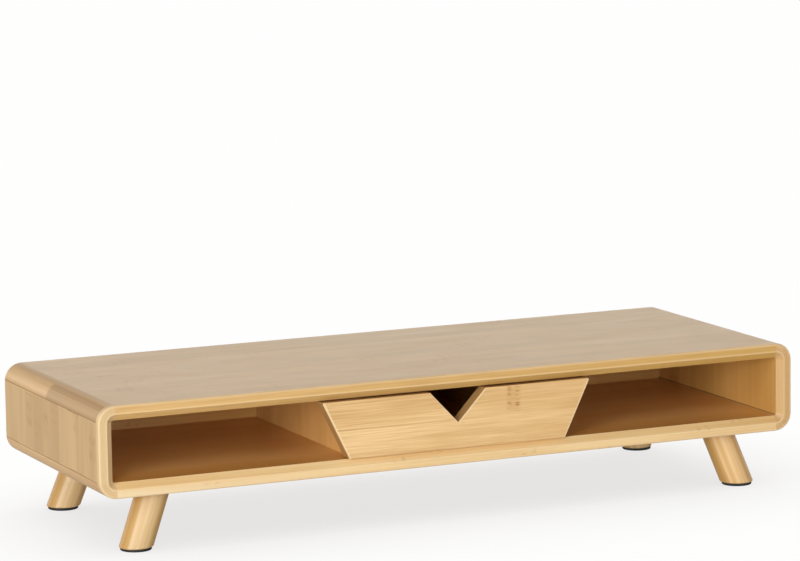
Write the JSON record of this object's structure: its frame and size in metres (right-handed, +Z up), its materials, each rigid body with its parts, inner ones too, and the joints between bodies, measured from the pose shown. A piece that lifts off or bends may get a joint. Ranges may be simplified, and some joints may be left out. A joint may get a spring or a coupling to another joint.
{
  "type": "monitor stand with drawer",
  "caption": "Low bamboo monitor stand with rounded ends, open side compartments, a central pull-out drawer with a pointed finger notch, and splayed round legs.",
  "frame": {"origin": "middle of the stand's box in plan, on the table under it", "axes": "+X to the right along the stand's length, +Y to its back (the drawer opens towards -Y), +Z up"},
  "size_m": [0.6, 0.22, 0.118],
  "materials": {
    "long_grain_bamboo": "clear satin lacquer over laminated bamboo, grain along the length",
    "upright_grain_bamboo": "clear satin lacquer over laminated bamboo, grain upright",
    "corner_bamboo": "clear satin lacquer over laminated bamboo, grain front to back",
    "inner_bamboo": "clear satin lacquer, bamboo",
    "thin_panel_bamboo": "clear satin lacquer, thin bamboo panel",
    "drawer_front_bamboo": "clear satin lacquer, bamboo, grain along the length",
    "leg_bamboo": "clear satin lacquer, turned laminated bamboo",
    "dowel_wood": "plain, glued in",
    "foot_pad_rubber": "matt black",
    "zinc_plated_steel": "zinc plated"
  },
  "bodies": {
    "case": {"top_panel": "long_grain_bamboo", "bottom_panel": "long_grain_bamboo", "left_side_panel": "upright_grain_bamboo", "right_side_panel": "upright_grain_bamboo", "top_left_corner_block": "corner_bamboo", "top_right_corner_block": "corner_bamboo", "bottom_left_corner_block": "corner_bamboo", "bottom_right_corner_block": "corner_bamboo", "back_panel": "thin_panel_bamboo", "left_divider": "inner_bamboo", "right_divider": "inner_bamboo", "top_panel_splines": "dowel_wood", "bottom_panel_splines": "dowel_wood", "left_side_panel_splines": "dowel_wood", "right_side_panel_splines": "dowel_wood", "front_left_leg": "leg_bamboo", "front_right_leg": "leg_bamboo", "rear_left_leg": "leg_bamboo", "rear_right_leg": "leg_bamboo", "front_left_foot_pad": "foot_pad_rubber", "front_right_foot_pad": "foot_pad_rubber", "rear_left_foot_pad": "foot_pad_rubber", "rear_right_foot_pad": "foot_pad_rubber", "leg_hanger_bolts": "zinc_plated_steel", "leg_threaded_inserts": "zinc_plated_steel"},
    "drawer": {"drawer_front": "drawer_front_bamboo", "drawer_left_side": "inner_bamboo", "drawer_right_side": "inner_bamboo", "drawer_back": "inner_bamboo", "drawer_bottom": "thin_panel_bamboo", "drawer_front_dowels": "dowel_wood"}
  },
  "joints": [
    {"name": "drawer_slide", "type": "slide", "parent": "case", "child": "drawer", "axis": [0, -1, 0], "range_m": [0, 0.15]}
  ]
}
